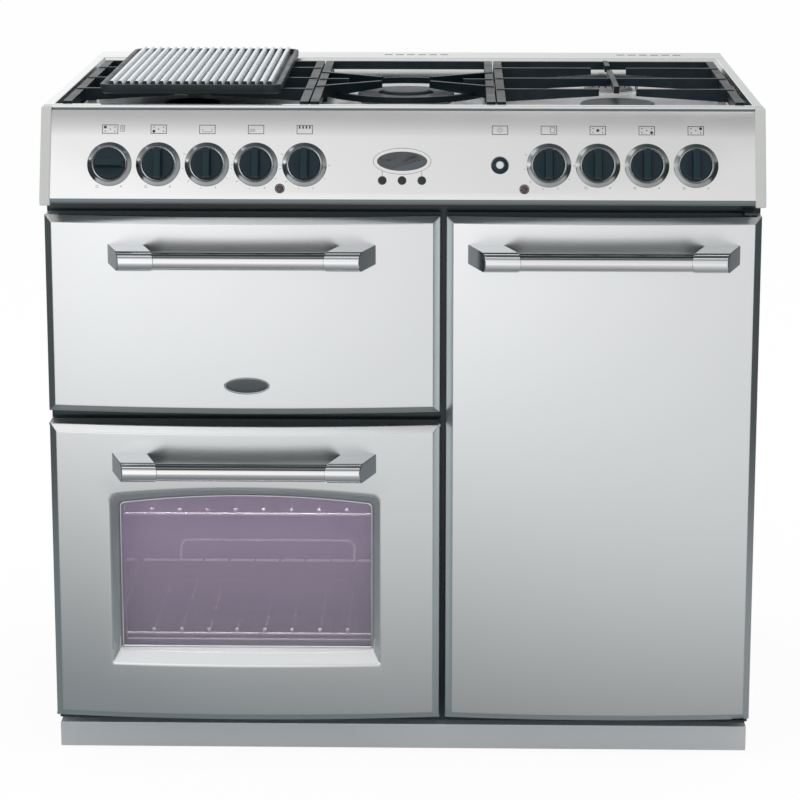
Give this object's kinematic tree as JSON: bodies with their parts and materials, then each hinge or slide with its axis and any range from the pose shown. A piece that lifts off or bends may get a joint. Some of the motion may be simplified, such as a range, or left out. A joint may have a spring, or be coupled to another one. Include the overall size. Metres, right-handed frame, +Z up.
{
  "type": "dual fuel range cooker",
  "caption": "Free-standing range cooker with a gas hob, griddle, sloped control panel, drop-down grill and main oven doors and a tall side-hinged oven.",
  "frame": {"origin": "centre of the whole part's footprint, on the floor under the feet", "axes": "+X to the right seen from the front, +Y to the wall behind, +Z up"},
  "size_m": [0.9, 0.7006, 0.8693],
  "materials": {
    "stainless": "brushed, satin",
    "door_steel": "finely brushed, satin",
    "bar_steel": "satin",
    "zinc_steel": "galvanised",
    "casing": "satin enamel",
    "frame_enamel": "gloss enamel",
    "plinth_steel": "satin",
    "oven_enamel": "gloss enamel",
    "cast_iron": "matt enamel",
    "griddle_iron": "satin",
    "burner_alloy": "cast",
    "burner_enamel": "satin enamel",
    "knob_plastic": "satin",
    "bezel_steel": "turned",
    "cap_plastic": "fine grain",
    "dark_plastic": "satin",
    "white_plastic": "gloss",
    "display": "gloss",
    "lamp_red": "gloss",
    "valve_brass": "plain",
    "window_glass": "tinted",
    "seal_rubber": "matt",
    "wire_chrome": "plated",
    "element_steel": "heat tinted",
    "fitting_dark": "moulded",
    "foot_black": "moulded"
  },
  "bodies": {
    "root": {"base_frame": "zinc_steel", "side_panels": "casing", "back_panel": "zinc_steel", "front_frame": "frame_enamel", "plinth": "plinth_steel", "hob_top": "stainless", "rear_vent_trim": "stainless", "control_panel": "stainless", "panel_end_caps": "cap_plastic", "knob_bezels": "bezel_steel", "control_valves": "valve_brass", "clock_unit": "display", "indicator_lamps": "lamp_red", "burner_bodies": "burner_alloy", "burner_crowns": "burner_alloy", "burner_caps": "burner_enamel", "grill_cavity": "oven_enamel", "main_oven_cavity": "oven_enamel", "tall_oven_cavity": "oven_enamel", "heating_elements": "element_steel", "fan_covers": "oven_enamel", "fan_motors": "zinc_steel", "shelf_runners": "wire_chrome", "grill_pan": "oven_enamel", "main_oven_shelves": "wire_chrome", "tall_oven_shelves": "wire_chrome", "door_seals": "seal_rubber", "hinge_brackets": "zinc_steel", "rear_connections": "fitting_dark"},
    "levelling_feet": {"levelling_feet": "foot_black"},
    "knob_1": {"knob_1": "knob_plastic"},
    "knob_2": {"knob_2": "knob_plastic"},
    "knob_3": {"knob_3": "knob_plastic"},
    "knob_4": {"knob_4": "knob_plastic"},
    "knob_5": {"knob_5": "knob_plastic"},
    "knob_6": {"knob_6": "knob_plastic"},
    "knob_7": {"knob_7": "knob_plastic"},
    "knob_8": {"knob_8": "knob_plastic"},
    "knob_9": {"knob_9": "knob_plastic"},
    "clock_button_1": {"clock_button_1": "dark_plastic"},
    "clock_button_2": {"clock_button_2": "dark_plastic"},
    "clock_button_3": {"clock_button_3": "dark_plastic"},
    "ignition_button": {"ignition_button": "white_plastic"},
    "pan_support_left": {"pan_support_left": "cast_iron"},
    "pan_support_centre": {"pan_support_centre": "cast_iron"},
    "pan_support_right": {"pan_support_right": "cast_iron"},
    "griddle": {"griddle": "griddle_iron"},
    "main_oven_fan": {"main_oven_fan": "zinc_steel"},
    "tall_oven_fan": {"tall_oven_fan": "zinc_steel"},
    "grill_door": {"grill_door_panel": "door_steel", "grill_door_liner": "zinc_steel", "grill_door_handle": "bar_steel"},
    "main_oven_door": {"main_door_panel": "door_steel", "main_door_liner": "zinc_steel", "main_door_glass": "window_glass", "window_trim": "wire_chrome", "main_door_handle": "bar_steel"},
    "tall_oven_door": {"tall_door_panel": "door_steel", "tall_door_liner": "zinc_steel", "tall_door_handle": "bar_steel"}
  },
  "joints": [
    {"name": "levelling_feet_wind", "type": "slide", "parent": "root", "child": "levelling_feet", "axis": [0, 0, -1], "range_m": [0, 0.05]},
    {"name": "knob_1_turn", "type": "hinge", "parent": "root", "child": "knob_1", "pos_m": [-0.3636, -0.2867, 0.77902], "axis": [0, -0.946, 0.3241], "range_deg": [-90, 120]},
    {"name": "knob_2_turn", "type": "hinge", "parent": "root", "child": "knob_2", "pos_m": [-0.303, -0.2867, 0.77902], "axis": [0, -0.946, 0.3241], "range_deg": [0, 210]},
    {"name": "knob_3_turn", "type": "hinge", "parent": "root", "child": "knob_3", "pos_m": [-0.2424, -0.2867, 0.77902], "axis": [0, -0.946, 0.3241], "range_deg": [-270, 0]},
    {"name": "knob_4_turn", "type": "hinge", "parent": "root", "child": "knob_4", "pos_m": [-0.1818, -0.2867, 0.77902], "axis": [0, -0.946, 0.3241], "range_deg": [-270, 0]},
    {"name": "knob_5_turn", "type": "hinge", "parent": "root", "child": "knob_5", "pos_m": [-0.1212, -0.2867, 0.77902], "axis": [0, -0.946, 0.3241], "range_deg": [-270, 0]},
    {"name": "knob_6_turn", "type": "hinge", "parent": "root", "child": "knob_6", "pos_m": [0.1818, -0.2867, 0.77902], "axis": [0, -0.946, 0.3241], "range_deg": [-270, 0]},
    {"name": "knob_7_turn", "type": "hinge", "parent": "root", "child": "knob_7", "pos_m": [0.2424, -0.2867, 0.77902], "axis": [0, -0.946, 0.3241], "range_deg": [0, 210]},
    {"name": "knob_8_turn", "type": "hinge", "parent": "root", "child": "knob_8", "pos_m": [0.303, -0.2867, 0.77902], "axis": [0, -0.946, 0.3241], "range_deg": [0, 210]},
    {"name": "knob_9_turn", "type": "hinge", "parent": "root", "child": "knob_9", "pos_m": [0.3636, -0.2867, 0.77902], "axis": [0, -0.946, 0.3241], "range_deg": [0, 210]},
    {"name": "clock_button_1_push", "type": "slide", "parent": "root", "child": "clock_button_1", "axis": [0, 0.946, -0.3241], "range_m": [0, 0.0015], "stiffness_N_per_m": 400, "springref_m": -0.001},
    {"name": "clock_button_2_push", "type": "slide", "parent": "root", "child": "clock_button_2", "axis": [0, 0.946, -0.3241], "range_m": [0, 0.0015], "stiffness_N_per_m": 400, "springref_m": -0.001},
    {"name": "clock_button_3_push", "type": "slide", "parent": "root", "child": "clock_button_3", "axis": [0, 0.946, -0.3241], "range_m": [0, 0.0015], "stiffness_N_per_m": 400, "springref_m": -0.001},
    {"name": "ignition_button_push", "type": "slide", "parent": "root", "child": "ignition_button", "axis": [0, 0.946, -0.3241], "range_m": [0, 0.0015], "stiffness_N_per_m": 400, "springref_m": -0.001},
    {"name": "pan_support_left_lift", "type": "slide", "parent": "root", "child": "pan_support_left", "axis": [0, 0, 1], "range_m": [0, 0.15]},
    {"name": "pan_support_centre_lift", "type": "slide", "parent": "root", "child": "pan_support_centre", "axis": [0, 0, 1], "range_m": [0, 0.15]},
    {"name": "pan_support_right_lift", "type": "slide", "parent": "root", "child": "pan_support_right", "axis": [0, 0, 1], "range_m": [0, 0.15]},
    {"name": "griddle_lift", "type": "slide", "parent": "pan_support_left", "child": "griddle", "axis": [0, 0, 1], "range_m": [0, 0.15]},
    {"name": "main_oven_fan_spin", "type": "hinge", "parent": "root", "child": "main_oven_fan", "pos_m": [-0.20025, 0.12525, 0.2525], "axis": [0, 1, 0], "continuous": true},
    {"name": "tall_oven_fan_spin", "type": "hinge", "parent": "root", "child": "tall_oven_fan", "pos_m": [0.25175, 0.12525, 0.3875], "axis": [0, 1, 0], "continuous": true},
    {"name": "grill_door_drop", "type": "hinge", "parent": "root", "child": "grill_door", "pos_m": [-0.20025, -0.28075, 0.473], "axis": [1, 0, 0], "range_deg": [0, 90]},
    {"name": "main_oven_door_drop", "type": "hinge", "parent": "root", "child": "main_oven_door", "pos_m": [-0.20025, -0.28075, 0.0665], "axis": [1, 0, 0], "range_deg": [0, 88]},
    {"name": "tall_oven_door_swing", "type": "hinge", "parent": "root", "child": "tall_oven_door", "pos_m": [0.4345, -0.26875, 0.384], "axis": [0, 0, 1], "range_deg": [0, 100]}
  ]
}
